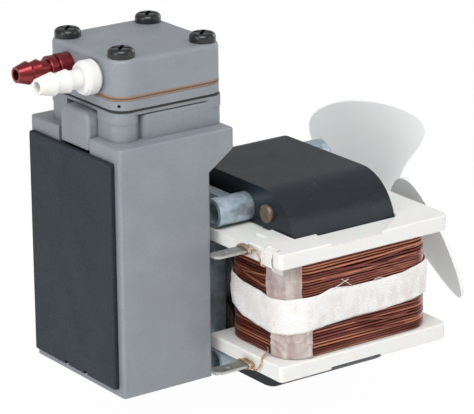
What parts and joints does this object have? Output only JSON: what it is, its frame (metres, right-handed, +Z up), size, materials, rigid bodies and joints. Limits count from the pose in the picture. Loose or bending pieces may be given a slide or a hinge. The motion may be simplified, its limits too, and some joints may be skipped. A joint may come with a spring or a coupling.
{
  "type": "diaphragm vacuum pump",
  "caption": "Diaphragm vacuum pump: a shaded-pole C-frame motor with fan turns an eccentric in a cast crankcase and drives a rod and diaphragm under a valved head with hose barbs.",
  "frame": {"origin": "centre of the four mounting holes, in the underside of the pump housing", "axes": "+X along the motor shaft from the pump to the fan, +Z up towards the pump head, the motor coil on the -Y side of the shaft"},
  "size_m": [0.1444, 0.0953, 0.1198],
  "materials": {
    "cast_grey": "light grey die casting with a fine matt paint",
    "cover_charcoal": "charcoal, finely textured",
    "black_screw": "black oxide",
    "fibre_sheet": "compressed brown fibre",
    "black_rubber": "moulded",
    "red_anodised": "turned and anodised red",
    "white_nylon": "moulded natural nylon",
    "fan_plastic": "moulded, slightly translucent",
    "cast_zinc": "die-cast",
    "black_lamination": "varnished black",
    "lamination_steel": "bare laminations",
    "copper": "bare copper",
    "enamelled_copper": "enamelled copper wire",
    "cloth_tape": "woven tape",
    "film_tape": "clear pink film",
    "tinned_metal": "tinned",
    "steel": "plated",
    "crank_zinc": "cast",
    "rod_aluminium": "cast",
    "sintered_bronze": "sintered",
    "felt": "oiled felt"
  },
  "bodies": {
    "pump_body": {"housing": "cast_grey", "front_cover": "cover_charcoal", "diaphragm_base": "cast_grey", "diaphragm": "black_rubber", "valve_plate": "cast_grey", "flap_keepers": "steel", "valve_sheet": "fibre_sheet", "head_gasket": "fibre_sheet", "head_cover": "cast_grey", "head_screws": "black_screw", "vacuum_barb": "red_anodised", "pressure_barb": "white_nylon", "front_bracket": "cast_zinc", "front_bracket_screws": "steel", "stack_screws": "steel", "bearing_clip": "steel", "front_bearing_outer": "steel", "front_bearing_balls": "steel", "field_stack": "black_lamination", "core_bar": "black_lamination", "stack_rivets": "copper", "shading_rings": "copper", "bobbin": "white_nylon", "coil_winding": "enamelled_copper", "cloth_tape": "cloth_tape", "corner_tapes": "film_tape", "lead_wires": "enamelled_copper", "solder_joints": "tinned_metal", "rear_bracket": "cast_zinc", "rear_bush": "sintered_bronze", "oil_felt": "felt", "rear_screws": "steel", "lower_terminal": "tinned_metal", "upper_terminal": "tinned_metal"},
    "crank": {"eccentric": "crank_zinc", "crank_set_screw": "steel", "rod_bearing_inner": "steel", "front_bearing_inner": "steel", "rotor_core": "lamination_steel", "rotor_end_rings": "rod_aluminium", "shaft": "steel", "thrust_washers": "steel", "fan": "fan_plastic", "fan_clip": "steel"},
    "rod": {"connecting_rod": "rod_aluminium", "rod_bearing_outer": "steel", "rod_bearing_balls": "steel", "lower_clamp_disc": "rod_aluminium", "upper_clamp_disc": "rod_aluminium", "clamp_screw": "steel"},
    "intake_flap": {"intake_flap": "black_rubber"},
    "exhaust_flap": {"exhaust_flap": "black_rubber"}
  },
  "joints": [
    {"name": "shaft_spin", "type": "hinge", "parent": "pump_body", "child": "crank", "pos_m": [0, 0, 0.02595], "axis": [1, 0, 0], "continuous": true},
    {"name": "rod_pivot", "type": "hinge", "parent": "crank", "child": "rod", "pos_m": [0.00625, 0, 0.02395], "axis": [1, 0, 0], "continuous": true, "deforming": ["diaphragm"]},
    {"name": "intake_flap_bend", "type": "hinge", "parent": "pump_body", "child": "intake_flap", "pos_m": [0.00155, 0.0056, 0.08827], "axis": [0, 1, 0], "range_deg": [0, 5], "stiffness_Nm_per_rad": 0.002},
    {"name": "exhaust_flap_bend", "type": "hinge", "parent": "pump_body", "child": "exhaust_flap", "pos_m": [0.00155, -0.0056, 0.09003], "axis": [0, -1, 0], "range_deg": [0, 5], "stiffness_Nm_per_rad": 0.002}
  ],
  "couplings": [
    {"joint": "rod_pivot", "follows": "shaft_spin", "ratio": -1}
  ]
}
